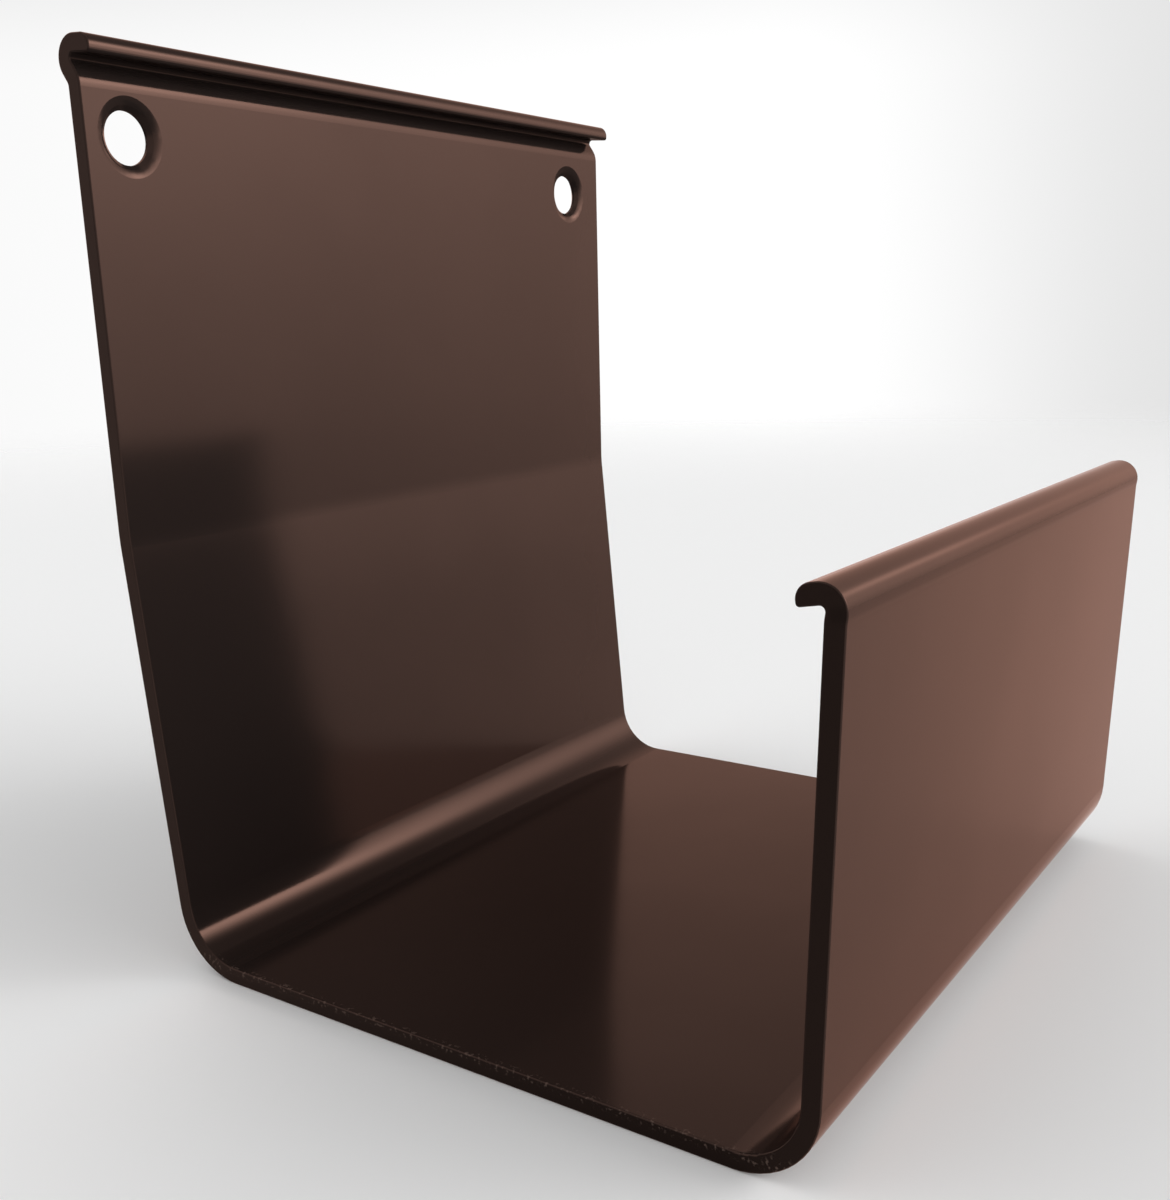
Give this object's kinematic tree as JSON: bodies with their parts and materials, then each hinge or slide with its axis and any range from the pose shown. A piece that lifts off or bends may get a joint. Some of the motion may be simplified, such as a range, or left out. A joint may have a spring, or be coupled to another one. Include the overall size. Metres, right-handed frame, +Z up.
{
  "type": "gutter connector",
  "caption": "Folded sheet-metal strap with a tall back leg, a flat sole, a low front leg, rolled lips and screw holes, that carries and joins the ends of box gutter lengths.",
  "frame": {"origin": "under the middle of the sole, on the sole's outer face", "axes": "+Z up, along the back leg; Y along the gutter's run; +X from the tall back leg towards the low front leg"},
  "size_m": [0.092, 0.1, 0.1081],
  "materials": {
    "brown_coat": "glossy dark brown coating with a metallic sheen"
  },
  "bodies": {
    "root": {"gutter_connector": "brown_coat"}
  },
  "joints": []
}
